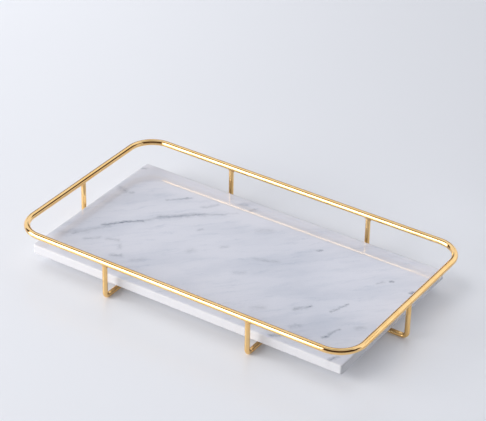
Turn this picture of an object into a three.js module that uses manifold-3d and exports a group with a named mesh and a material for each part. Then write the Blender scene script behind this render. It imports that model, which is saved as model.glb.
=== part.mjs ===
// Dresser vanity tray: a polished marble slab that lies loose in a cradle of bent gold wire.
//
// Millimetres. +X runs along the long side, +Y to the back and +Z up. The origin is on the surface
// that the tray stands on, below its middle. Left and right are -X and +X, front and back -Y and +Y.

import * as THREE from 'three';
import { mergeVertices } from 'three/addons/utils/BufferGeometryUtils.js';
import Module from 'manifold-3d';

const wasm = await Module();
wasm.setup();

// ---------------------------------------------------------------------------------------------
// Driving dimensions
// ---------------------------------------------------------------------------------------------

// The top rail: one closed loop of round wire with rounded corners.
const trayLength = 305;
const trayWidth = 177;
const trayHeight = 35.5;
const railDiameter = 5;
const railCornerRadius = 21.5;     // to the centre line

// The cradle under it: thinner wire, bent once at the foot of each post.
const wireDiameter = 4;
const wireBendRadius = 4;          // to the centre line
const crossWireX = 64.5;           // the two front-to-back wires stand this far from the middle

// Filler metal at the joints.
const railBrazeLength = 1.5;       // from a post's end to the underside of the rail
const railBrazeFlare = 0.45;       // how far the fillet spreads beyond the post
const railBrazeRise = 0.7;         // how far it climbs the sides of the rail
const baseWeldLength = 1.2;        // from a wire's end to the side of the cross wire

// The marble slab.
const slabLength = 281;
const slabWidth = 152;
const slabThickness = 8;
const slabUndersideZ = 7.5;
const slabShiftX = -1.5;           // loose in the frame, it lies this far off the middle
const slabArrisRadius = 1.2;       // the polished rounding along every edge
const slabCornerRadius = 2.0;      // the upright corners, seen from above

// The clear bumpers stuck to the slab's underside, one over each wire near each foot.
const padRadius = 5;
const padRimHeight = 0.8;
const padFaceRadius = 2.6;         // the small flat on the dome
const padGap = 0.2;                // the dome stops this far above its wire
const padInset = 18;               // from the slab's edge to the middle of a pad

// Clearance between pieces that follow a curved face.
const fitGap = 0.3;

// How finely round shapes are divided.
const wireSides = 16;
const bendStep = THREE.MathUtils.degToRad(9);
const roundSegments = 16;

// ---------------------------------------------------------------------------------------------
// Worked-out sizes
// ---------------------------------------------------------------------------------------------

const railRadius = railDiameter / 2;
const wireRadius = wireDiameter / 2;
const railX = trayLength / 2 - railRadius;
const railY = trayWidth / 2 - railRadius;
const railZ = trayHeight - railRadius;
const runZ = wireRadius;
const postTopZ = railZ - railRadius - railBrazeLength;
const weldEndX = crossWireX + wireRadius + baseWeldLength;

// ---------------------------------------------------------------------------------------------
// Materials
// ---------------------------------------------------------------------------------------------

const goldWire = () => new THREE.MeshStandardMaterial({ color: 0xe6b868, roughness: 0.14, metalness: 1 });
const goldFiller = () => new THREE.MeshStandardMaterial({ color: 0xd9a957, roughness: 0.26, metalness: 1 });
const marble = () => new THREE.MeshStandardMaterial({ color: 0xe3e4ea, roughness: 0.1, metalness: 0 });
const clearSilicone = () => new THREE.MeshStandardMaterial({
  color: 0xe8edef,
  roughness: 0.3,
  metalness: 0,
  transparent: true,
  opacity: 0.55,
});

// ---------------------------------------------------------------------------------------------
// Geometry helpers
// ---------------------------------------------------------------------------------------------

// Merges a geometry's shared vertices and drops the empty triangles at its poles.
function weld(geometry) {
  const bare = new THREE.BufferGeometry();
  bare.setAttribute('position', geometry.getAttribute('position'));
  bare.setIndex(geometry.index);
  const merged = mergeVertices(bare, 1e-4);
  const corners = merged.index.array;
  const kept = [];
  for (let i = 0; i < corners.length; i += 3) {
    const [a, b, c] = corners.slice(i, i + 3);
    if (a !== b && b !== c && c !== a) {
      kept.push(a, b, c);
    }
  }
  merged.setIndex(kept);
  return merged;
}

function toSolid(geometry) {
  const welded = weld(geometry);
  const vertProperties = new Float32Array(welded.getAttribute('position').array);
  const triVerts = new Uint32Array(welded.index.array);
  return new wasm.Manifold(new wasm.Mesh({ numProp: 3, vertProperties, triVerts }));
}

function toGeometry(solid) {
  const mesh = solid.getMesh();
  const geometry = new THREE.BufferGeometry();
  geometry.setAttribute('position', new THREE.BufferAttribute(mesh.vertProperties, 3));
  geometry.setIndex(new THREE.BufferAttribute(mesh.triVerts, 1));
  return geometry;
}

// A wire's centre line, known only at its stations: both ends, and every few degrees round a bend.
class WireLine extends THREE.Curve {
  constructor(stations) {
    super();
    this.stations = stations;
  }

  stationAt(u) {
    return this.stations[Math.round(u * (this.stations.length - 1))];
  }

  getPointAt(u, target = new THREE.Vector3()) {
    return target.copy(this.stationAt(u).point);
  }

  getTangentAt(u, target = new THREE.Vector3()) {
    return target.copy(this.stationAt(u).tangent);
  }
}

// The stations round one bend: the line comes from before, turns at corner and leaves for after.
function bendStations(before, corner, after, radius) {
  const arriving = corner.clone().sub(before).normalize();
  const leaving = after.clone().sub(corner).normalize();
  const turn = arriving.angleTo(leaving);
  const pivot = new THREE.Vector3().crossVectors(arriving, leaving).normalize();
  const setback = radius * Math.tan(turn / 2);
  const bendStart = corner.clone().addScaledVector(arriving, -setback);
  const towardsCentre = new THREE.Vector3().crossVectors(pivot, arriving);
  const centre = bendStart.clone().addScaledVector(towardsCentre, radius);
  const steps = Math.round(turn / bendStep);
  const stations = [];
  for (let i = 0; i <= steps; i += 1) {
    const angle = (turn * i) / steps;
    const spoke = bendStart.clone().sub(centre).applyAxisAngle(pivot, angle);
    stations.push({
      point: spoke.add(centre),
      tangent: arriving.clone().applyAxisAngle(pivot, angle),
    });
  }
  return stations;
}

// A round section whose outermost points lie exactly on the wire's radius.
function wireSection(radius) {
  const points = [];
  for (let i = 0; i < wireSides; i += 1) {
    const angle = (2 * Math.PI * i) / wireSides;
    points.push(new THREE.Vector2(radius * Math.cos(angle), radius * Math.sin(angle)));
  }
  return new THREE.Shape(points);
}

function sweep(stations, radius) {
  return new THREE.ExtrudeGeometry(wireSection(radius), {
    steps: stations.length - 1,
    extrudePath: new WireLine(stations),
  });
}

// A wire with two ends, through the given corners.
function openWire(corners, radius, bendRadius) {
  const last = corners.length - 1;
  const direction = (from, to) => to.clone().sub(from).normalize();
  const stations = [{ point: corners[0], tangent: direction(corners[0], corners[1]) }];
  for (let i = 1; i < last; i += 1) {
    stations.push(...bendStations(corners[i - 1], corners[i], corners[i + 1], bendRadius));
  }
  stations.push({ point: corners[last], tangent: direction(corners[last - 1], corners[last]) });
  return weld(sweep(stations, radius));
}

// A wire that closes on itself. The sweep's two end caps would meet inside it, so only its sides stay.
function closedWire(corners, radius, bendRadius) {
  const count = corners.length;
  const stations = [];
  for (let i = 0; i < count; i += 1) {
    const before = corners[(i + count - 1) % count];
    const after = corners[(i + 1) % count];
    stations.push(...bendStations(before, corners[i], after, bendRadius));
  }
  stations.push(stations[0]);
  const swept = sweep(stations, radius);
  const sides = swept.groups.find((group) => group.materialIndex === 1);
  const sidePositions = swept.getAttribute('position').array.slice(sides.start * 3);
  const open = new THREE.BufferGeometry();
  open.setAttribute('position', new THREE.BufferAttribute(sidePositions, 3));
  return weld(open);
}

// A solid of revolution about Z from [radius, z] pairs, which start and end on the axis.
function turned(profile) {
  const points = profile.map(([radius, z]) => new THREE.Vector2(radius, z));
  return new THREE.LatheGeometry(points, roundSegments).rotateX(Math.PI / 2);
}

// ---------------------------------------------------------------------------------------------
// The assembly
// ---------------------------------------------------------------------------------------------

const tray = new THREE.Group();

function addPiece(name, geometry, material, parent = tray) {
  const piece = new THREE.Mesh(geometry, material);
  piece.name = name;
  parent.add(piece);
  return piece;
}

const at = (x, y, z) => new THREE.Vector3(x, y, z);

// ---- Top rail -------------------------------------------------------------------------------

const railCorners = [
  at(-railX, -railY, railZ),
  at(railX, -railY, railZ),
  at(railX, railY, railZ),
  at(-railX, railY, railZ),
];
addPiece('top_rail', closedWire(railCorners, railRadius, railCornerRadius), goldWire());

// ---- Cradle wires ---------------------------------------------------------------------------

// A cross wire is one length: down from the front rail, under the slab, and up to the back rail.
function crossWire(x) {
  const corners = [
    at(x, -railY, postTopZ),
    at(x, -railY, runZ),
    at(x, railY, runZ),
    at(x, railY, postTopZ),
  ];
  return openWire(corners, wireRadius, wireBendRadius);
}

// An end wire comes down from the end of the rail and runs in to butt against a cross wire.
function endWire(side) {
  const corners = [
    at(side * railX, 0, postTopZ),
    at(side * railX, 0, runZ),
    at(side * weldEndX, 0, runZ),
  ];
  return openWire(corners, wireRadius, wireBendRadius);
}

// The brace joins the two cross wires along the middle of the tray.
function centreBrace() {
  const halfLength = crossWireX - wireRadius - baseWeldLength;
  return openWire([at(-halfLength, 0, runZ), at(halfLength, 0, runZ)], wireRadius, 0);
}

for (const [name, side] of [['left', -1], ['right', 1]]) {
  addPiece(`cross_wire_${name}`, crossWire(side * crossWireX), goldWire());
  addPiece(`end_wire_${name}`, endWire(side), goldWire());
}
addPiece('centre_brace', centreBrace(), goldWire());

// ---- Brazed joints between the posts and the rail -------------------------------------------

// A stub of filler metal on a post's end. It flares as it rises and is saddled to the rail, which
// runs along X here and is turned with the piece at the tray's ends.
function railBraze() {
  const riseZ = railZ - railRadius + railBrazeRise;
  const flareRadius = wireRadius + railBrazeFlare;
  const stub = turned([
    [0, postTopZ],
    [wireRadius, postTopZ],
    [wireRadius + railBrazeFlare * 0.12, postTopZ + railBrazeLength * 0.45],
    [wireRadius + railBrazeFlare * 0.45, postTopZ + railBrazeLength],
    [flareRadius, riseZ],
    [0, riseZ],
  ]);
  const clearance = new THREE.CylinderGeometry(
    railRadius + fitGap, railRadius + fitGap, 4 * flareRadius, 2 * wireSides);
  clearance.rotateZ(Math.PI / 2).translate(0, 0, railZ);
  return toGeometry(toSolid(stub).subtract(toSolid(clearance)));
}

const postPlaces = [
  ['front_left', -crossWireX, -railY, 0],
  ['front_right', crossWireX, -railY, 0],
  ['back_left', -crossWireX, railY, 0],
  ['back_right', crossWireX, railY, 0],
  ['left', -railX, 0, Math.PI / 2],
  ['right', railX, 0, Math.PI / 2],
];
for (const [name, x, y, turn] of postPlaces) {
  const braze = addPiece(`rail_braze_${name}`, railBraze(), goldFiller());
  braze.position.set(x, y, 0);
  braze.rotation.z = turn;
}

// ---- Welds under the slab -------------------------------------------------------------------

// A plug of filler metal between a wire's square end and the round side of the cross wire. It is
// ground flush with the wire, so that the tray stands on its wires alone. Made at the origin: the
// cross wire's axis is Y, and the plug reaches out along +X.
function baseWeld() {
  const reach = wireRadius + baseWeldLength;
  const plug = new THREE.CylinderGeometry(wireRadius, wireRadius, reach, wireSides);
  plug.rotateZ(Math.PI / 2).translate(reach / 2, 0, 0);
  const clearance = new THREE.CylinderGeometry(
    wireRadius + fitGap, wireRadius + fitGap, 4 * wireDiameter, 2 * wireSides);
  return toGeometry(toSolid(plug).subtract(toSolid(clearance)));
}

for (const [sideName, side] of [['left', -1], ['right', 1]]) {
  const places = [['outer', side > 0 ? 0 : Math.PI], ['inner', side > 0 ? Math.PI : 0]];
  for (const [endName, turn] of places) {
    const plug = addPiece(`base_weld_${sideName}_${endName}`, baseWeld(), goldFiller());
    plug.position.set(side * crossWireX, 0, runZ);
    plug.rotation.z = turn;
  }
}

// ---- Marble slab ----------------------------------------------------------------------------

function slabOutline() {
  const x = slabLength / 2;
  const y = slabWidth / 2;
  const r = slabCornerRadius;
  const outline = new THREE.Shape();
  outline.absarc(x - r, y - r, r, 0, Math.PI / 2);
  outline.absarc(-x + r, y - r, r, Math.PI / 2, Math.PI);
  outline.absarc(-x + r, -y + r, r, Math.PI, 1.5 * Math.PI);
  outline.absarc(x - r, -y + r, r, 1.5 * Math.PI, 2 * Math.PI);
  return outline;
}

const slab = new THREE.ExtrudeGeometry(slabOutline(), {
  depth: slabThickness - 2 * slabArrisRadius,
  curveSegments: 4,
  bevelThickness: slabArrisRadius,
  bevelSize: slabArrisRadius,
  bevelOffset: -slabArrisRadius,
  bevelSegments: 3,
});
slab.translate(slabShiftX, 0, slabUndersideZ + slabArrisRadius);
addPiece('marble_slab', weld(slab), marble());

// ---- Bumper pads ----------------------------------------------------------------------------

// A clear self-adhesive bumper: a disc on the slab's underside with a flattened dome below it.
function bumperPad() {
  const faceZ = wireDiameter + padGap;
  const rimZ = slabUndersideZ - padRimHeight;
  const domeSteps = 4;
  const profile = [[0, faceZ], [padFaceRadius, faceZ]];
  for (let i = 1; i <= domeSteps; i += 1) {
    const angle = (Math.PI / 2) * (i / domeSteps);
    profile.push([
      padFaceRadius + (padRadius - padFaceRadius) * Math.sin(angle),
      rimZ - (rimZ - faceZ) * Math.cos(angle),
    ]);
  }
  profile.push([padRadius, slabUndersideZ], [0, slabUndersideZ]);
  return weld(turned(profile));
}

const padX = slabLength / 2 - padInset;
const padY = slabWidth / 2 - padInset;
const padPlaces = [
  ['front_left', -crossWireX, -padY],
  ['front_right', crossWireX, -padY],
  ['back_left', -crossWireX, padY],
  ['back_right', crossWireX, padY],
  ['left', -padX, 0],
  ['right', padX, 0],
];
for (const [name, x, y] of padPlaces) {
  addPiece(`bumper_pad_${name}`, bumperPad(), clearSilicone()).position.set(x, y, 0);
}

export default tray;
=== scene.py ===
"""Looks of a dresser vanity tray: a polished marble slab lying loose in a cradle of gold wire.

Metres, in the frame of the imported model: +X along the long side, +Y to the back, +Z up, with the
origin on the surface that the tray stands on.
"""

import math

import bpy
from mathutils import Matrix, Vector


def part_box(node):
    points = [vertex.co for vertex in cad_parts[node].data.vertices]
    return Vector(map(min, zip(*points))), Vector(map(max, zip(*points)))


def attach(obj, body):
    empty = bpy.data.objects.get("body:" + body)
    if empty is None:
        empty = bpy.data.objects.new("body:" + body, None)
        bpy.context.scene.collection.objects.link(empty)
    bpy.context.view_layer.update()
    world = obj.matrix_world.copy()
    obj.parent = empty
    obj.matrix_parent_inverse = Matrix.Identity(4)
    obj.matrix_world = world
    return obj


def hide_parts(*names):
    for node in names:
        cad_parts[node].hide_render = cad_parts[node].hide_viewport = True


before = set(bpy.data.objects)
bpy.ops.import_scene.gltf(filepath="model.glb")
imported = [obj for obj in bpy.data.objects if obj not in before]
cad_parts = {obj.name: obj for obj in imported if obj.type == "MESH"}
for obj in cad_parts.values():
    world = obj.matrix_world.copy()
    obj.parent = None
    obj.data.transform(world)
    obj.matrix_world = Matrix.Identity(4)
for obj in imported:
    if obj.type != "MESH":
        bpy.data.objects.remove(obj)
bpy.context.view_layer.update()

MM = 0.001

# ---------------------------------------------------------------------------------------------
# Driving values
# ---------------------------------------------------------------------------------------------

# Angles are in degrees. An azimuth is 0 at the front (-Y) and grows towards the right (+X).

# Camera: a long lens from the front right, above the tray.
CAMERA_AZIMUTH = 32.81
CAMERA_ELEVATION = 31.90
CAMERA_ROLL = 1.22
CAMERA_TARGET = Vector((-0.0489, 0.0804, 0.0))
CAMERA_DISTANCE = 1.676
CAMERA_LENS_MM = 152.2
CAMERA_SENSOR_MM = 36.0
CAMERA_CLIP_NEAR = 0.05
CAMERA_CLIP_FAR = 40.0

# The ends of the tray, with the sign of their X.
SIDES = {"left": -1.0, "right": 1.0}
PAD_PLACES = ("front_left", "front_right", "back_left", "back_right", "left", "right")

# Shapes that the CAD boxes don't give. Bend and corner radii of wires are to the centre line.
RAIL_CORNER_RADIUS = 21.5 * MM
WIRE_BEND_RADIUS = 4.0 * MM
SLAB_ARRIS = 1.2 * MM
SLAB_CORNER = 2.0 * MM

# A post ends inside the rail, this part of the rail's radius below its middle.
POST_END_DEPTH = 0.4

# Filler metal: how far it runs out along the wire that a post meets, and what part of that
# is left at the wire's sides, where the two surfaces run almost parallel.
RAIL_FILLET = 2.1 * MM
RAIL_FILLET_AT_SIDES = 0.2
BASE_FILLET = 1.1 * MM
BASE_FILLET_AT_SIDES = 0.0
# A fillet runs down the wire by this many times its width, and its back is buried in the metal.
FILLET_DROP = 1.15
FILLET_LEAST_DROP = 0.05 * MM
FILLET_BURIED = 0.35 * MM
FILLET_UV_STEP = 0.2 * MM

# A bumper: its flat face as a part of its radius, and its straight rim as a part of its height.
PAD_FACE = 0.5
PAD_RIM = 0.25
PAD_EASED_EDGE = 0.15 * MM

# Gold. A roughness is given as clean and, second, how much the wear adds.
GOLD = (0.99, 0.665, 0.300, 1.0)
GOLD_DEEP = (0.96, 0.600, 0.230, 1.0)
WIRE_ROUGHNESS = (0.03, 0.07)
FILLER_ROUGHNESS = (0.07, 0.14)
BUFFING_LENGTH = 7.0 * MM
BUFFING_WIDTH = 0.11 * MM

# Marble. Roughness is given as the least and the most of it.
MARBLE_LIGHT = (0.690, 0.692, 0.745, 1.0)
MARBLE_SHADE = (0.520, 0.545, 0.618, 1.0)
MARBLE_VEIN = (0.180, 0.203, 0.255, 1.0)
MARBLE_EDGE = (0.62, 0.62, 0.64, 1.0)
POLISHED_ROUGHNESS = (0.015, 0.030)
HONED_ROUGHNESS = (0.42, 0.55)

# The veins run at one angle and wander: a slow drift and a fine tremble.
VEIN_ANGLE = 48.0
VEIN_DRIFT = 6.0 * MM
VEIN_TREMBLE = 5.0 * MM

# Length and width of the marble's softer markings, and the angle that each one lies at.
FEATHERS = (7.0 * MM, 1.3 * MM, VEIN_ANGLE)
CLOUDS = (80.0 * MM, 26.0 * MM, VEIN_ANGLE)
STREAKS = (34.0 * MM, 5.5 * MM, VEIN_ANGLE - 3.0)
WISPS = (13.0 * MM, 1.8 * MM, VEIN_ANGLE + 4.0)

# Veins on the slab, in millimetres from its middle: both ends, half-width and strength.
VEINS = (
    # The long vein that crosses the left half.
    ((-133, -49), (-118, -34), 3.2, 0.30),
    ((-118, -34), (-110, -20), 2.6, 0.35),
    ((-114, -21), (-92, 1), 1.7, 0.95),
    ((-93, 1), (-80, 16), 1.8, 0.45),
    ((-83, 13), (-57, 36), 3.0, 0.62),
    ((-60, 34), (-44, 46), 2.0, 0.42),
    ((-45, 45), (-37, 54), 1.8, 0.22),
    # Broken streaks beside it.
    ((-95, 38), (-81, 51), 1.5, 0.50),
    ((-86, 47), (-83, 50), 1.2, 0.70),
    ((-65, 45), (-57, 54), 1.6, 0.35),
    ((-114, -46), (-106, -38), 1.8, 0.35),
    ((-128, -45), (-125, -42), 2.0, 0.45),
    ((-99, -36), (-91, -34), 2.0, 0.35),
    ((-86, -38), (-83, -41), 1.8, 0.30),
    ((-83, -53), (-77, -50), 2.4, 0.50),
    ((-66, -49), (-60, -44), 2.4, 0.26),
    # Left edge and back edge.
    ((-137, 32), (-130, 30), 2.6, 0.50),
    ((-126, 30), (-124, 31), 1.6, 0.45),
    ((-139, 68), (-137, 69), 1.6, 0.45),
    ((-42, 66), (-37, 68), 2.2, 0.36),
    ((-31, 62), (-27, 68), 1.8, 0.40),
    # Faint patches in the middle.
    ((-8, 42), (-1, 47), 3.0, 0.26),
    ((12, 6), (27, 13), 2.6, 0.30),
    ((10, -19), (15, -15), 2.6, 0.22),
    ((-37, -15), (-35, -12), 3.2, 0.26),
    ((-20, 5), (-17, 8), 2.0, 0.28),
    ((-48, 15), (-46, 18), 1.4, 0.35),
    # Right half: steeper, darker and more broken.
    ((45, 44), (47, 46), 1.2, 0.62),
    ((113, 38), (115, 39), 1.3, 0.95),
    ((133, 33), (135, 35), 1.5, 0.90),
    ((107, 31), (109, 34), 1.8, 0.36),
    ((96, -22), (101, -6), 1.2, 0.62),
    ((100, -8), (101, -6), 1.1, 0.90),
    ((72, -34), (80, -26), 2.0, 0.40),
    ((79, -27), (81, -25), 1.2, 0.95),
    ((110, -54), (114, -37), 1.3, 0.58),
    ((109, -53), (111, -50), 1.1, 0.95),
    ((124, -29), (127, -26), 2.2, 0.36),
    ((83, -55), (87, -50), 2.2, 0.30),
    ((47, -50), (52, -46), 3.0, 0.24),
    ((127, -74), (130, -68), 1.6, 0.70),
    ((76, -74), (82, -70), 2.2, 0.60),
)

# Broad patches in the ground, in the same form, but with how much greyer or, below 0, paler.
# The paler patches, near the back and front-left edges, are painted light that lifts the shade the rail
# casts and mirrors there; the greyer one darkens the right half.
PAINTED_LIGHT_AND_TONE_PATCHES = (
    ((-138, 74), (-84, 70), 18.0, -1.00),
    ((-60, 64), (-20, 50), 9.0, -0.40),
    ((-140, -72), (-96, -76), 11.0, -0.90),
    ((35, 15), (110, -45), 36.0, 0.38),
)

# Silicone and paper: each wanders between two colours.
SILICONE_TONES = ((0.86, 0.89, 0.90, 1.0), (0.94, 0.95, 0.95, 1.0))
PAPER_TONES = ((0.68, 0.69, 0.72, 1.0), (0.70, 0.71, 0.74, 1.0))
# The paper also glows a little: painted light that lifts the shadows on the floor evenly.
PAPER_PAINTED_GLOW = (0.97, 0.975, 1.0, 1.0)
PAPER_PAINTED_GLOW_STRENGTH = 0.11
FLOOR_REACH = 14.0

# The room: its walls, what is overhead, the unlit part and the dim part, and the plain backdrop
# that the camera sees. The unlit part is blacker in mirrors than as a light on matt surfaces.
ROOM = (0.82, 0.85, 0.93, 1.0)
OVERHEAD = (0.44, 0.475, 0.565, 1.0)
UNLIT = (0.050, 0.032, 0.020, 1.0)
UNLIT_DIFFUSE = (0.22, 0.23, 0.25, 1.0)
DIM = (0.19, 0.175, 0.16, 1.0)
BACKDROP = (0.73, 0.74, 0.77, 1.0)

# How strong the room is to the camera and in mirrors, and as a light on matt surfaces.
ROOM_STRENGTH = 1.15
ROOM_STRENGTH_DIFFUSE = 0.76

# Parts of the room: (azimuth, full within, gone beyond) round the horizon, and the elevations
# between which each one fades out, or in.
UNLIT_SECTOR = (2.0, 88.0, 95.0)
UNLIT_TOP = (54.0, 61.0)
DIM_SECTOR = (-147.0, 15.0, 20.0)
DIM_TOP = (27.5, 30.0)
GAP_SECTOR = (122.0, 34.0, 39.0)
GAP_TOP = (40.0, 43.0)
GAP_FOOT = (11.0, 14.0)
WALLS_TOP = (58.0, 70.0)

# Softboxes, aimed at a point in the tray: azimuth, elevation, distance, width and height. The
# metal mirrors only the first part of the key, which keeps its glare down.
SOFTBOX_AIM = Vector((0.0, 0.0, 0.02))
KEY_PLACE = (-43.8, 19.0, 2.6, 2.18, 1.62)
KEY_COLOUR = (1.0, 0.985, 0.965)
KEY_RADIANCE = 7.0
KEY_REST_RADIANCE = 2.4
FILL_PLACE = (-122.0, 28.0, 1.05, 0.90, 0.90)
FILL_COLOUR = (0.95, 0.97, 1.0)
FILL_RADIANCE = 1.35

# The white card: its two lower corners, its height and its thickness.
CARD_FRONT = Vector((0.262, -0.028, 0.04))
CARD_BACK = Vector((0.148, 0.188, 0.04))
CARD_HEIGHT = 0.10
CARD_THICKNESS = 4.0 * MM
CARD_TONES = ((0.66, 0.68, 0.70, 1.0), (0.69, 0.71, 0.73, 1.0))


# ---------------------------------------------------------------------------------------------
# Node helpers
# ---------------------------------------------------------------------------------------------


class Nodes:
    """Short calls for building a node tree. An argument is a socket or a plain value."""

    def __init__(self, tree):
        self.tree = tree
        self.tree.nodes.clear()

    def add(self, kind, inputs=(), **settings):
        node = self.tree.nodes.new(kind)
        for name, value in settings.items():
            setattr(node, name, value)
        for key, value in dict(inputs).items():
            self.put(node.inputs[key], value)
        return node

    def put(self, socket, value):
        if isinstance(value, bpy.types.NodeSocket):
            self.tree.links.new(value, socket)
        else:
            socket.default_value = value

    def math(self, operation, a, b=0.0, clamp=False):
        node = self.add("ShaderNodeMath", {0: a, 1: b}, operation=operation, use_clamp=clamp)
        return node.outputs[0]

    def vector(self, operation, a, b=(0.0, 0.0, 0.0)):
        node = self.add("ShaderNodeVectorMath", {0: a, 1: b}, operation=operation)
        return node.outputs["Value" if operation in ("DOT_PRODUCT", "LENGTH") else "Vector"]

    def scale(self, a, factor):
        node = self.add("ShaderNodeVectorMath", {0: a, "Scale": factor}, operation="SCALE")
        return node.outputs["Vector"]

    def remap(self, value, low, high, to_low=0.0, to_high=1.0, smooth=True):
        kind = "SMOOTHSTEP" if smooth else "LINEAR"
        inputs = {"Value": value, "From Min": low, "From Max": high, "To Min": to_low, "To Max": to_high}
        return self.add("ShaderNodeMapRange", inputs, interpolation_type=kind).outputs[0]

    def mix(self, factor, a, b):
        node = self.add("ShaderNodeMix", data_type="RGBA")
        self.put(node.inputs[0], factor)
        self.put(node.inputs[6], a)
        self.put(node.inputs[7], b)
        return node.outputs[2]

    def noise(self, vector, scale, detail=2.0, roughness=0.5, colour=False):
        inputs = {"Vector": vector, "Scale": scale, "Detail": detail, "Roughness": roughness}
        node = self.add("ShaderNodeTexNoise", inputs)
        return node.outputs["Color" if colour else "Fac"]

    def stretched(self, vector, length, width, angle=0.0):
        """Coordinates in which a feature one unit in size is length long, at that angle, and width wide."""
        turn = (0.0, 0.0, math.radians(angle))
        inputs = {"Vector": vector, "Rotation": turn, "Scale": (length, width, width)}
        return self.add("ShaderNodeMapping", inputs, vector_type="TEXTURE").outputs[0]

    def bump(self, height, strength, distance, normal=None):
        inputs = {"Height": height, "Strength": strength, "Distance": distance}
        if normal is not None:
            inputs["Normal"] = normal
        return self.add("ShaderNodeBump", inputs).outputs[0]


def new_material(name):
    """A material, its nodes and its main shader, which is already joined to the output."""
    material = bpy.data.materials.new(name)
    material.use_nodes = True
    nodes = Nodes(material.node_tree)
    shader = nodes.add("ShaderNodeBsdfPrincipled")
    output = nodes.add("ShaderNodeOutputMaterial")
    nodes.tree.links.new(shader.outputs[0], output.inputs[0])
    return material, nodes, shader


# ---------------------------------------------------------------------------------------------
# Materials
# ---------------------------------------------------------------------------------------------


def gold_material(name, clean, wear):
    """Mirror-polished gold plating, with fine buffing marks along the wire and a slight waviness."""
    material, n, shader = new_material(name)
    place = n.add("ShaderNodeTexCoord").outputs["Object"]
    along = n.add("ShaderNodeUVMap", uv_map="along").outputs[0]
    tint = n.noise(place, 60.0, 3.0)
    n.put(shader.inputs["Base Color"], n.mix(n.remap(tint, 0.35, 0.7), GOLD, GOLD_DEEP))
    shader.inputs["Metallic"].default_value = 1.0
    buffing = n.noise(n.stretched(along, BUFFING_LENGTH, BUFFING_WIDTH), 1.0, 2.0, 0.6)
    smudges = n.noise(place, 110.0, 3.0, 0.6)
    marks = n.math("MULTIPLY", buffing, smudges)
    n.put(shader.inputs["Roughness"], n.remap(marks, 0.12, 0.4, clean, clean + wear))
    waves = n.noise(place, 90.0, 1.0)
    normal = n.bump(waves, 0.15, 0.00006)
    normal = n.bump(buffing, 0.10, 0.000004, normal)
    n.put(shader.inputs["Normal"], normal)
    return material


def vein_stroke(n, point, start, end, half_width, strength):
    """One vein: strongest on the line from start to end, with a halo twice as wide that fades out.

    The result is squared later, which is why the root of the strength goes in.
    """
    first = Vector((*start, 0.0)) * MM
    line = Vector((*end, 0.0)) * MM - first
    offset = n.vector("SUBTRACT", point, tuple(first))
    along = n.vector("DOT_PRODUCT", offset, tuple(line))
    reach = n.math("MULTIPLY", along, 1.0 / line.length_squared, clamp=True)
    distance = n.vector("LENGTH", n.vector("SUBTRACT", offset, n.scale(tuple(line), reach)))
    return n.remap(distance, 0.0, 2 * half_width * MM, math.sqrt(strength), 0.0, smooth=False)


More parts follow.
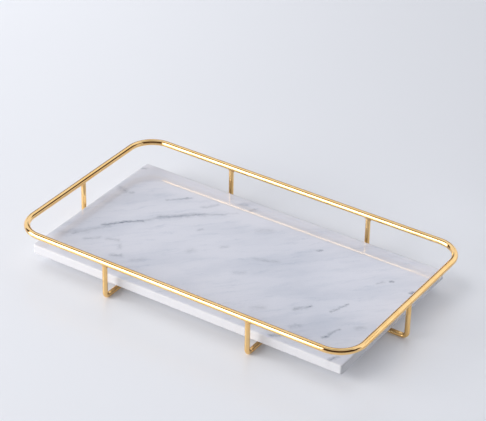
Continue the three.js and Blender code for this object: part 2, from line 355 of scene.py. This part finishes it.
def marble_material():
    """Polished white marble with blue-grey clouds and broken veins, running up to the right."""
    material, n, shader = new_material("polished_marble")
    place = n.add("ShaderNodeTexCoord").outputs["Object"]
    flat = n.vector("MULTIPLY", place, (1.0, 1.0, 0.0))
    drift = n.vector("SUBTRACT", n.noise(place, 55.0, 2.0, colour=True), (0.5, 0.5, 0.5))
    tremble = n.vector("SUBTRACT", n.noise(place, 380.0, 4.0, 0.65, colour=True), (0.5, 0.5, 0.5))
    wander = n.vector("ADD", n.scale(drift, VEIN_DRIFT), n.scale(tremble, VEIN_TREMBLE))
    wander = n.vector("MULTIPLY", wander, (1.0, 1.0, 0.0))
    point = n.vector("ADD", flat, wander)
    total = None
    for start, end, half_width, strength in VEINS:
        stroke = vein_stroke(n, point, start, end, half_width, strength)
        total = stroke if total is None else n.math("MAXIMUM", total, stroke)
    feather = n.noise(n.stretched(point, *FEATHERS), 1.0, 3.0, 0.6)
    veins = n.math("MULTIPLY", n.math("POWER", total, 2.0), n.remap(feather, 0.32, 0.62, 0.45, 1.25))
    # Clouds, streaks and wisps, drawn out along the veins, and a fine crystalline mottle.
    clouds = n.noise(n.stretched(point, *CLOUDS), 1.0, 3.0, 0.5)
    streaks = n.noise(n.stretched(point, *STREAKS), 1.0, 4.0, 0.6)
    wisps = n.noise(n.stretched(point, *WISPS), 1.0, 3.0, 0.6)
    mottle = n.noise(place, 900.0, 2.0, 0.5)
    streaked = n.remap(streaks, 0.48, 0.76, 0.0, 0.40)
    shade = n.math("ADD", n.remap(clouds, 0.40, 0.68, 0.05, 0.45), streaked)
    wispy = n.math("MULTIPLY", n.remap(wisps, 0.48, 0.70), n.math("ADD", streaked, 0.08))
    shade = n.math("ADD", shade, wispy)
    shade = n.math("ADD", shade, n.remap(mottle, 0.3, 0.7, -0.06, 0.06, smooth=False))
    # Broad patches: a greyer right half, and paler patches near the edges that are painted light over the
    # rail's shade.
    for start, end, half_width, change in PAINTED_LIGHT_AND_TONE_PATCHES:
        patch = n.math("POWER", vein_stroke(n, point, start, end, half_width, abs(change)), 2.0)
        shade = n.math("ADD" if change > 0 else "SUBTRACT", shade, patch)
    shade = n.math("MAXIMUM", n.math("MINIMUM", shade, 1.0), 0.0)
    ground = n.mix(shade, MARBLE_LIGHT, MARBLE_SHADE)
    face = n.mix(n.math("MULTIPLY", veins, 0.95, clamp=True), ground, MARBLE_VEIN)
    # The edges are honed, not polished: paler and duller. The sides and the arrises face sideways.
    normal = n.add("ShaderNodeNewGeometry").outputs["Normal"]
    upright = n.add("ShaderNodeSeparateXYZ", {0: normal}).outputs[2]
    honed = n.remap(n.math("ABSOLUTE", upright), 0.75, 0.995, 1.0, 0.0)
    n.put(shader.inputs["Base Color"], n.mix(honed, face, n.mix(0.25, MARBLE_EDGE, face)))
    polished = n.remap(n.noise(place, 45.0, 3.0), 0.3, 0.7, *POLISHED_ROUGHNESS)
    grain = n.remap(n.noise(place, 700.0, 3.0), 0.3, 0.7, *HONED_ROUGHNESS)
    n.put(shader.inputs["Roughness"], n.remap(honed, 0.0, 1.0, polished, grain, smooth=False))
    shader.inputs["IOR"].default_value = 1.45
    shader.inputs["Subsurface Weight"].default_value = 0.12
    shader.inputs["Subsurface Radius"].default_value = (1.0, 0.95, 0.85)
    shader.inputs["Subsurface Scale"].default_value = 0.003
    polish = n.bump(n.noise(place, 130.0, 2.0), 0.10, 0.00002)
    n.put(shader.inputs["Normal"], polish)
    return material


def silicone_material():
    """Clear silicone: slightly milky, with a satin skin."""
    material, n, shader = new_material("clear_silicone")
    place = n.add("ShaderNodeTexCoord").outputs["Object"]
    haze = n.noise(place, 900.0, 3.0)
    n.put(shader.inputs["Base Color"], n.mix(haze, *SILICONE_TONES))
    n.put(shader.inputs["Roughness"], n.remap(haze, 0.3, 0.7, 0.18, 0.32))
    shader.inputs["Transmission Weight"].default_value = 0.75
    shader.inputs["IOR"].default_value = 1.41
    n.put(shader.inputs["Normal"], n.bump(haze, 0.1, 0.00002))
    return material


def floor_material():
    """The pale seamless paper that the tray stands on, with a faint glow: painted light that lifts its
    shadows.
    """
    material, n, shader = new_material("pale_paper")
    place = n.add("ShaderNodeTexCoord").outputs["Object"]
    tone = n.noise(place, 3.0, 2.0)
    n.put(shader.inputs["Base Color"], n.mix(tone, *PAPER_TONES))
    # Painted light: the paper glows a little, which lifts the shadows on it.
    shader.inputs["Emission Color"].default_value = PAPER_PAINTED_GLOW
    shader.inputs["Emission Strength"].default_value = PAPER_PAINTED_GLOW_STRENGTH
    shader.inputs["Roughness"].default_value = 0.32
    shader.inputs["Specular IOR Level"].default_value = 0.6
    return material


# ---------------------------------------------------------------------------------------------
# Mesh helpers
# ---------------------------------------------------------------------------------------------


def make_object(name, verts, faces, material, smooth=True, uvs=None):
    """A mesh object in the scene. uvs, if given, holds each face's corners in the layer "along"."""
    mesh = bpy.data.meshes.new(name)
    mesh.from_pydata([tuple(v) for v in verts], [], faces)
    if uvs is not None:
        layer = mesh.uv_layers.new(name="along")
        for polygon, corners in zip(mesh.polygons, uvs):
            for loop, uv in zip(polygon.loop_indices, corners):
                layer.data[loop].uv = uv
    mesh.polygons.foreach_set("use_smooth", [smooth] * len(mesh.polygons))
    mesh.materials.append(material)
    mesh.update()
    obj = bpy.data.objects.new(name, mesh)
    bpy.context.scene.collection.objects.link(obj)
    return obj


def add_piece(obj, body, slot, *nodes):
    """Fixes a visible piece to its body and hides the CAD nodes that it stands in for."""
    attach(obj, body)
    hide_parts(*nodes)
    return obj


def bent_line(corners, radius, closed=False, bend_steps=18, straight_steps=10):
    """Points and headings along a wire through corners, with a round bend of that radius at each."""
    count = len(corners)
    stations = []
    bends = range(count) if closed else range(1, count - 1)
    if not closed:
        stations.append((corners[0], (corners[1] - corners[0]).normalized()))
    for i in bends:
        before, corner, after = corners[i - 1], corners[i], corners[(i + 1) % count]
        arriving = (corner - before).normalized()
        leaving = (after - corner).normalized()
        turn = arriving.angle(leaving)
        pivot = arriving.cross(leaving).normalized()
        start = corner - arriving * (radius * math.tan(turn / 2))
        centre = start + pivot.cross(arriving) * radius
        for step in range(bend_steps + 1):
            spin = Matrix.Rotation(turn * step / bend_steps, 3, pivot)
            stations.append((centre + spin @ (start - centre), spin @ arriving))
    if closed:
        stations.append(stations[0])
    else:
        stations.append((corners[-1], (corners[-1] - corners[-2]).normalized()))
    # Straight stretches are divided too, so that shading and bump stay even.
    line = [stations[0]]
    for (a, _), (b, heading) in zip(stations, stations[1:]):
        if (b - a).length > 4 * radius:
            for step in range(1, straight_steps):
                line.append((a.lerp(b, step / straight_steps), heading))
        line.append((b, heading))
    return line


def wire_mesh(name, line, radius, plane_normal, material, closed=False, sides=40):
    """A round wire swept along a line that stays in one plane."""
    verts, faces, uvs = [], [], []
    rings = line[:-1] if closed else line
    for point, heading in rings:
        side = heading.cross(plane_normal).normalized()
        for k in range(sides):
            angle = 2 * math.pi * k / sides
            verts.append(point + (side * math.cos(angle) + plane_normal * math.sin(angle)) * radius)
    travelled = [0.0]
    for (a, _), (b, _) in zip(line, line[1:]):
        travelled.append(travelled[-1] + (b - a).length)
    girth = 2 * math.pi * radius
    for i in range(len(line) - 1):
        j = (i + 1) % len(rings)
        for k in range(sides):
            m = (k + 1) % sides
            faces.append((i * sides + k, i * sides + m, j * sides + m, j * sides + k))
            low, high = girth * k / sides, girth * (k + 1) / sides
            near, far = travelled[i], travelled[i + 1]
            uvs.append(((near, low), (near, high), (far, high), (far, low)))
    if not closed:
        last = (len(rings) - 1) * sides
        faces.append(tuple(reversed(range(sides))))
        faces.append(tuple(last + k for k in range(sides)))
        uvs.append([(0.0, 0.0)] * sides)
        uvs.append([(0.0, 0.0)] * sides)
    return make_object(name, verts, faces, material, uvs=uvs)


def saddle_fillet(name, place, rail_radius, fillet, at_sides, around=64, steps=8):
    """A closed ring of filler metal round a post that meets the underside of a rail.

    Before place is applied, the rail's axis is X and the post hangs below it along -Z. at_sides
    is what part of the fillet is left at the rail's sides.
    """
    verts, faces = [], []

    def rail_height(radius, angle):
        across = min(abs(radius * math.sin(angle)), rail_radius * 0.995)
        return -math.sqrt(rail_radius ** 2 - across ** 2)

    inwards = Vector((-FILLET_BURIED, FILLET_BURIED))
    for i in range(around):
        angle = 2 * math.pi * i / around
        width = fillet * (at_sides + (1 - at_sides) * math.cos(angle) ** 2)
        # Filler never flows evenly, and it stops at the widest part of the rail.
        width *= 1 + 0.10 * math.sin(3 * angle + 0.7) + 0.06 * math.sin(5 * angle + 2.1)
        room = rail_radius * 0.985 / max(abs(math.sin(angle)), 1e-6) - wire_radius
        width = min(width, room)
        drop = max(width * FILLET_DROP, FILLET_LEAST_DROP)
        low = Vector((wire_radius, rail_height(wire_radius, angle) - drop))
        knee = Vector((wire_radius, rail_height(wire_radius, angle)))
        high = Vector((wire_radius + width, rail_height(wire_radius + width, angle)))
        profile = []
        for step in range(steps + 1):
            t = step / steps
            profile.append(low.lerp(knee, t).lerp(knee.lerp(high, t), t))
        profile += [high + inwards, low + inwards]
        for r, z in profile:
            verts.append(place @ Vector((r * math.cos(angle), r * math.sin(angle), z)))
    rows = steps + 3
    for i in range(around):
        j = (i + 1) % around
        for k in range(rows):
            m = (k + 1) % rows
            faces.append((i * rows + k, j * rows + k, j * rows + m, i * rows + m))
    uvs = [[(i * FILLET_UV_STEP, k * FILLET_UV_STEP) for k in range(4)] for i in range(len(faces))]
    return make_object(name, verts, faces, filler_gold, uvs=uvs)


def stacked_faces(levels, around):
    """Faces of a closed solid made of level rings of corners, one above the other."""
    faces = []
    for i in range(levels - 1):
        for k in range(around):
            m = (k + 1) % around
            faces.append((i * around + k, i * around + m, (i + 1) * around + m, (i + 1) * around + k))
    last = (levels - 1) * around
    faces.append(tuple(reversed(range(around))))
    faces.append(tuple(last + k for k in range(around)))
    return faces


def turned_mesh(name, profile, centre, material, around=48):
    """A solid of revolution about a vertical axis through centre, from (radius, z) pairs."""
    verts = []
    for radius, z in profile:
        for k in range(around):
            angle = 2 * math.pi * k / around
            verts.append((centre.x + radius * math.cos(angle), centre.y + radius * math.sin(angle), z))
    return make_object(name, verts, stacked_faces(len(profile), around), material)


# ---------------------------------------------------------------------------------------------
# Pieces
# ---------------------------------------------------------------------------------------------

gold = gold_material("polished_gold", *WIRE_ROUGHNESS)
filler_gold = gold_material("gold_filler", *FILLER_ROUGHNESS)
marble = marble_material()
silicone = silicone_material()

AXIS_X = Vector((1.0, 0.0, 0.0))
AXIS_Y = Vector((0.0, 1.0, 0.0))
AXIS_Z = Vector((0.0, 0.0, 1.0))

# Centre lines of the rail and the wires, from the boxes of the CAD pieces.
rail_low, rail_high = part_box("top_rail")
rail_radius = (rail_high.z - rail_low.z) / 2
rail_z = rail_high.z - rail_radius
rail_x = rail_high.x - rail_radius
rail_y = rail_high.y - rail_radius

wire_low, wire_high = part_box("cross_wire_left")
wire_radius = (wire_high.x - wire_low.x) / 2
wire_z = wire_low.z + wire_radius
post_top_z = rail_z - POST_END_DEPTH * rail_radius


def build_rail():
    """The top rail: one closed loop of round wire."""
    corners = [
        Vector((-rail_x, -rail_y, rail_z)),
        Vector((rail_x, -rail_y, rail_z)),
        Vector((rail_x, rail_y, rail_z)),
        Vector((-rail_x, rail_y, rail_z)),
    ]
    line = bent_line(corners, RAIL_CORNER_RADIUS, closed=True, bend_steps=40, straight_steps=40)
    rail = wire_mesh("rail", line, rail_radius, AXIS_Z, gold, closed=True, sides=48)
    add_piece(rail, "frame", "gold_wire", "top_rail")


def build_cross_wire(side_name):
    """A front post, a run along the floor and a back post, in one wire. Returns its X."""
    low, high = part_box(f"cross_wire_{side_name}")
    x = (low.x + high.x) / 2
    corners = [
        Vector((x, -rail_y, post_top_z)),
        Vector((x, -rail_y, wire_z)),
        Vector((x, rail_y, wire_z)),
        Vector((x, rail_y, post_top_z)),
    ]
    line = bent_line(corners, WIRE_BEND_RADIUS, straight_steps=24)
    wire = wire_mesh(f"cross_wire_{side_name}_visual", line, wire_radius, AXIS_X, gold)
    add_piece(wire, "frame", "gold_wire", f"cross_wire_{side_name}")
    return x


def build_end_wire(side_name, side, cross_x):
    """An end post and its run in under the slab, as far as the cross wire at cross_x."""
    corners = [
        Vector((side * rail_x, 0.0, post_top_z)),
        Vector((side * rail_x, 0.0, wire_z)),
        Vector((cross_x, 0.0, wire_z)),
    ]
    line = bent_line(corners, WIRE_BEND_RADIUS, straight_steps=16)
    wire = wire_mesh(f"end_wire_{side_name}_visual", line, wire_radius, AXIS_Y, gold)
    add_piece(wire, "frame", "gold_wire", f"end_wire_{side_name}")


def build_brace(left_x, right_x):
    """The straight wire between the two cross wires."""
    ends = [Vector((left_x, 0.0, wire_z)), Vector((right_x, 0.0, wire_z))]
    line = bent_line(ends, WIRE_BEND_RADIUS, straight_steps=20)
    wire = wire_mesh("centre_brace_visual", line, wire_radius, AXIS_Y, gold)
    add_piece(wire, "frame", "gold_wire", "centre_brace")


def build_rail_braze(name, x, y, turn):
    """Filler metal where a post meets the rail. turn is the rail's heading from +X, in radians."""
    place = Matrix.Translation((x, y, rail_z)) @ Matrix.Rotation(turn, 4, "Z")
    braze = saddle_fillet(f"{name}_visual", place, rail_radius, RAIL_FILLET, RAIL_FILLET_AT_SIDES)
    add_piece(braze, "frame", "gold_filler", name)


def build_base_weld(name, x, heading):
    """Filler metal where a wire leaves a cross wire, towards +X if heading is 1 and -X if it's -1."""
    # Local X (the rail) becomes the cross wire's Y, and local -Z (the post) becomes heading X.
    place = Matrix((
        (0.0, 0.0, -heading, x),
        (1.0, 0.0, 0.0, 0.0),
        (0.0, -heading, 0.0, wire_z),
        (0.0, 0.0, 0.0, 1.0),
    ))
    weld = saddle_fillet(f"{name}_visual", place, wire_radius, BASE_FILLET, BASE_FILLET_AT_SIDES)
    add_piece(weld, "frame", "gold_filler", name)


def build_frame():
    build_rail()
    cross_x = {name: build_cross_wire(name) for name in SIDES}
    for name, side in SIDES.items():
        build_end_wire(name, side, cross_x[name])
        build_base_weld(f"base_weld_{name}_outer", cross_x[name], side)
        build_base_weld(f"base_weld_{name}_inner", cross_x[name], -side)
        build_rail_braze(f"rail_braze_front_{name}", cross_x[name], -rail_y, 0.0)
        build_rail_braze(f"rail_braze_back_{name}", cross_x[name], rail_y, 0.0)
        build_rail_braze(f"rail_braze_{name}", side * rail_x, 0.0, math.pi / 2)
    build_brace(cross_x["left"], cross_x["right"])


def rounded_outline(half_x, half_y, radius, inset, corner_steps=8):
    """The slab's outline seen from above, moved in by inset."""
    points = []
    reach = max(radius - inset, 0.0)
    corners = ((1, 1), (-1, 1), (-1, -1), (1, -1))
    for quarter, (sx, sy) in enumerate(corners):
        centre = Vector((sx * (half_x - radius), sy * (half_y - radius)))
        for step in range(corner_steps + 1):
            angle = math.pi / 2 * (quarter + step / corner_steps)
            points.append(centre + Vector((math.cos(angle), math.sin(angle))) * reach)
    return points


def build_slab():
    """The marble slab, its edges rounded over by SLAB_ARRIS."""
    low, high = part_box("marble_slab")
    centre = (low + high) / 2
    half_x, half_y = (high.x - low.x) / 2, (high.y - low.y) / 2
    arris_steps = 10
    levels = []
    for step in range(arris_steps + 1):
        angle = math.pi / 2 * step / arris_steps
        levels.append((SLAB_ARRIS * (1 - math.sin(angle)), low.z + SLAB_ARRIS * (1 - math.cos(angle))))
    levels += [(inset, low.z + high.z - z) for inset, z in reversed(levels)]
    verts = []
    for inset, z in levels:
        outline = rounded_outline(half_x, half_y, SLAB_CORNER, inset)
        verts += [Vector((centre.x + p.x, centre.y + p.y, z)) for p in outline]
    faces = stacked_faces(len(levels), len(verts) // len(levels))
    slab = make_object("slab", verts, faces, marble)
    # The flat faces stay flat in shading, and only the arrises shade as round.
    weighted = slab.modifiers.new("even_faces", "WEIGHTED_NORMAL")
    weighted.keep_sharp = True
    weighted.weight = 100
    add_piece(slab, "slab", "marble", "marble_slab")


def build_pads():
    """The clear bumpers under the slab: a domed foot, flat where it rests on a wire."""
    dome_steps = 10
    for place in PAD_PLACES:
        low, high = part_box(f"bumper_pad_{place}")
        centre = (low + high) / 2
        radius = (high.x - low.x) / 2
        face = radius * PAD_FACE
        rim = high.z - (high.z - low.z) * PAD_RIM
        # Rings inside the flat face, then the dome, then the rim with its eased edge.
        profile = [(face * 0.4, low.z), (face * 0.8, low.z)]
        for step in range(dome_steps + 1):
            angle = math.pi / 2 * step / dome_steps
            r = face + (radius - face) * math.sin(angle)
            profile.append((r, rim - (rim - low.z) * math.cos(angle)))
        profile += [(radius, high.z - PAD_EASED_EDGE), (radius - PAD_EASED_EDGE, high.z)]
        pad = turned_mesh(f"pad_{place}", profile, centre, silicone)
        add_piece(pad, "slab", "clear_silicone", f"bumper_pad_{place}")


# ---------------------------------------------------------------------------------------------
# Stage, light and camera
# ---------------------------------------------------------------------------------------------


def build_floor():
    """A wide disc of paper, out past where the camera can see its edge."""
    around = 96
    verts = [(0.0, 0.0, 0.0)]
    for k in range(around):
        angle = 2 * math.pi * k / around
        verts.append((FLOOR_REACH * math.cos(angle), FLOOR_REACH * math.sin(angle), 0.0))
    faces = [(0, 1 + k, 1 + (k + 1) % around) for k in range(around)]
    floor = make_object("floor", verts, faces, floor_material(), smooth=False)


def direction(azimuth, elevation):
    """The unit vector that points that way from the tray."""
    around, up = math.radians(azimuth), math.radians(elevation)
    flat = math.cos(up)
    return Vector((math.sin(around) * flat, -math.cos(around) * flat, math.sin(up)))


def add_softbox(name, azimuth, elevation, distance, width, height, radiance, colour):
    """A soft rectangular lamp, whose brightness doesn't change with its size."""
    light = bpy.data.lights.new(name, "AREA")
    light.shape = "RECTANGLE"
    light.size = width
    light.size_y = height
    light.energy = radiance * math.pi * width * height
    light.color = colour
    lamp = bpy.data.objects.new(name, light)
    back = direction(azimuth, elevation)
    lamp.location = SOFTBOX_AIM + back * distance
    lamp.rotation_mode = "QUATERNION"
    lamp.rotation_quaternion = (-back).to_track_quat("-Z", "Y")
    lamp.visible_camera = False
    bpy.context.scene.collection.objects.link(lamp)
    return lamp


def build_world():
    """A pale room, duller overhead, unlit behind the camera and in a gap at the back right.

    It is dim low down, straight behind the tray. The camera itself sees a plain pale backdrop.
    """
    world = bpy.data.worlds.new("studio")
    bpy.context.scene.world = world
    world.use_nodes = True
    n = Nodes(world.node_tree)
    way = n.add("ShaderNodeTexCoord").outputs["Generated"]
    height = n.add("ShaderNodeSeparateXYZ", {0: way}).outputs[2]
    level = n.vector("NORMALIZE", n.vector("MULTIPLY", way, (1.0, 1.0, 0.0)))

    def sector(azimuth, inner, outer):
        """1 within inner degrees of that azimuth, and 0 beyond outer."""
        facing = n.vector("DOT_PRODUCT", level, tuple(direction(azimuth, 0.0)))
        return n.remap(facing, math.cos(math.radians(outer)), math.cos(math.radians(inner)))

    def below(inner, outer):
        """1 under the elevation inner, and 0 above outer."""
        return n.remap(height, math.sin(math.radians(outer)), math.sin(math.radians(inner)))

    path = n.add("ShaderNodeLightPath")
    on_matt = path.outputs["Is Diffuse Ray"]
    unlit = n.mix(on_matt, UNLIT, UNLIT_DIFFUSE)
    room = n.mix(below(*WALLS_TOP), OVERHEAD, ROOM)
    room = n.mix(n.math("MULTIPLY", sector(*UNLIT_SECTOR), below(*UNLIT_TOP)), room, unlit)
    room = n.mix(n.math("MULTIPLY", sector(*DIM_SECTOR), below(*DIM_TOP)), room, DIM)
    gap_height = n.math("SUBTRACT", below(*GAP_TOP), below(*GAP_FOOT))
    room = n.mix(n.math("MULTIPLY", sector(*GAP_SECTOR), gap_height), room, UNLIT)
    strength = n.remap(on_matt, 0.0, 1.0, ROOM_STRENGTH, ROOM_STRENGTH_DIFFUSE, smooth=False)
    seen = n.mix(path.outputs["Is Camera Ray"], room, BACKDROP)
    glow = n.add("ShaderNodeBackground", {"Color": seen, "Strength": strength})
    output = n.add("ShaderNodeOutputWorld")
    n.tree.links.new(glow.outputs[0], output.inputs[0])


def build_lights():
    """The key in two parts, of which the metal mirrors one, and a fill that it doesn't mirror."""
    add_softbox("key", *KEY_PLACE, KEY_RADIANCE, KEY_COLOUR)
    key_rest = add_softbox("key_rest", *KEY_PLACE, KEY_REST_RADIANCE, KEY_COLOUR)
    key_rest.visible_glossy = False
    left_fill = add_softbox("left_fill", *FILL_PLACE, FILL_RADIANCE, FILL_COLOUR)
    left_fill.visible_glossy = False


def build_card():
    """A white card that hangs at the right of the tray, hidden from the camera, and sends light back."""
    material, n, shader = new_material("white_card")
    place = n.add("ShaderNodeTexCoord").outputs["Object"]
    tone = n.noise(place, 12.0, 2.0)
    n.put(shader.inputs["Base Color"], n.mix(tone, *CARD_TONES))
    shader.inputs["Roughness"].default_value = 0.8
    rise = AXIS_Z * CARD_HEIGHT
    thickness = (CARD_BACK - CARD_FRONT).cross(AXIS_Z).normalized() * CARD_THICKNESS
    near = [CARD_FRONT, CARD_BACK, CARD_BACK + rise, CARD_FRONT + rise]
    verts = near + [corner + thickness for corner in near]
    faces = [(3, 2, 1, 0), (4, 5, 6, 7), (0, 1, 5, 4), (1, 2, 6, 5), (2, 3, 7, 6), (3, 0, 4, 7)]
    card = make_object("card", verts, faces, material, smooth=False)
    card.visible_camera = False
    card.visible_shadow = False


def build_camera():
    """The camera, turned about its own axis by CAMERA_ROLL."""
    forward = -direction(CAMERA_AZIMUTH, CAMERA_ELEVATION)
    level_right = forward.cross(AXIS_Z).normalized()
    level_up = level_right.cross(forward)
    roll = math.radians(CAMERA_ROLL)
    right = level_right * math.cos(roll) + level_up * math.sin(roll)
    up = level_up * math.cos(roll) - level_right * math.sin(roll)
    camera = bpy.data.cameras.new("camera")
    camera.sensor_width = CAMERA_SENSOR_MM
    camera.lens = CAMERA_LENS_MM
    camera.clip_start = CAMERA_CLIP_NEAR
    camera.clip_end = CAMERA_CLIP_FAR
    holder = bpy.data.objects.new("camera", camera)
    turn = Matrix((right, up, -forward)).transposed()
    holder.matrix_world = Matrix.Translation(CAMERA_TARGET - forward * CAMERA_DISTANCE) @ turn.to_4x4()
    bpy.context.scene.collection.objects.link(holder)
    bpy.context.scene.camera = holder


build_frame()
build_slab()
build_pads()
build_floor()
build_world()
build_lights()
build_card()
build_camera()
bpy.context.scene.view_settings.view_transform = "Standard"
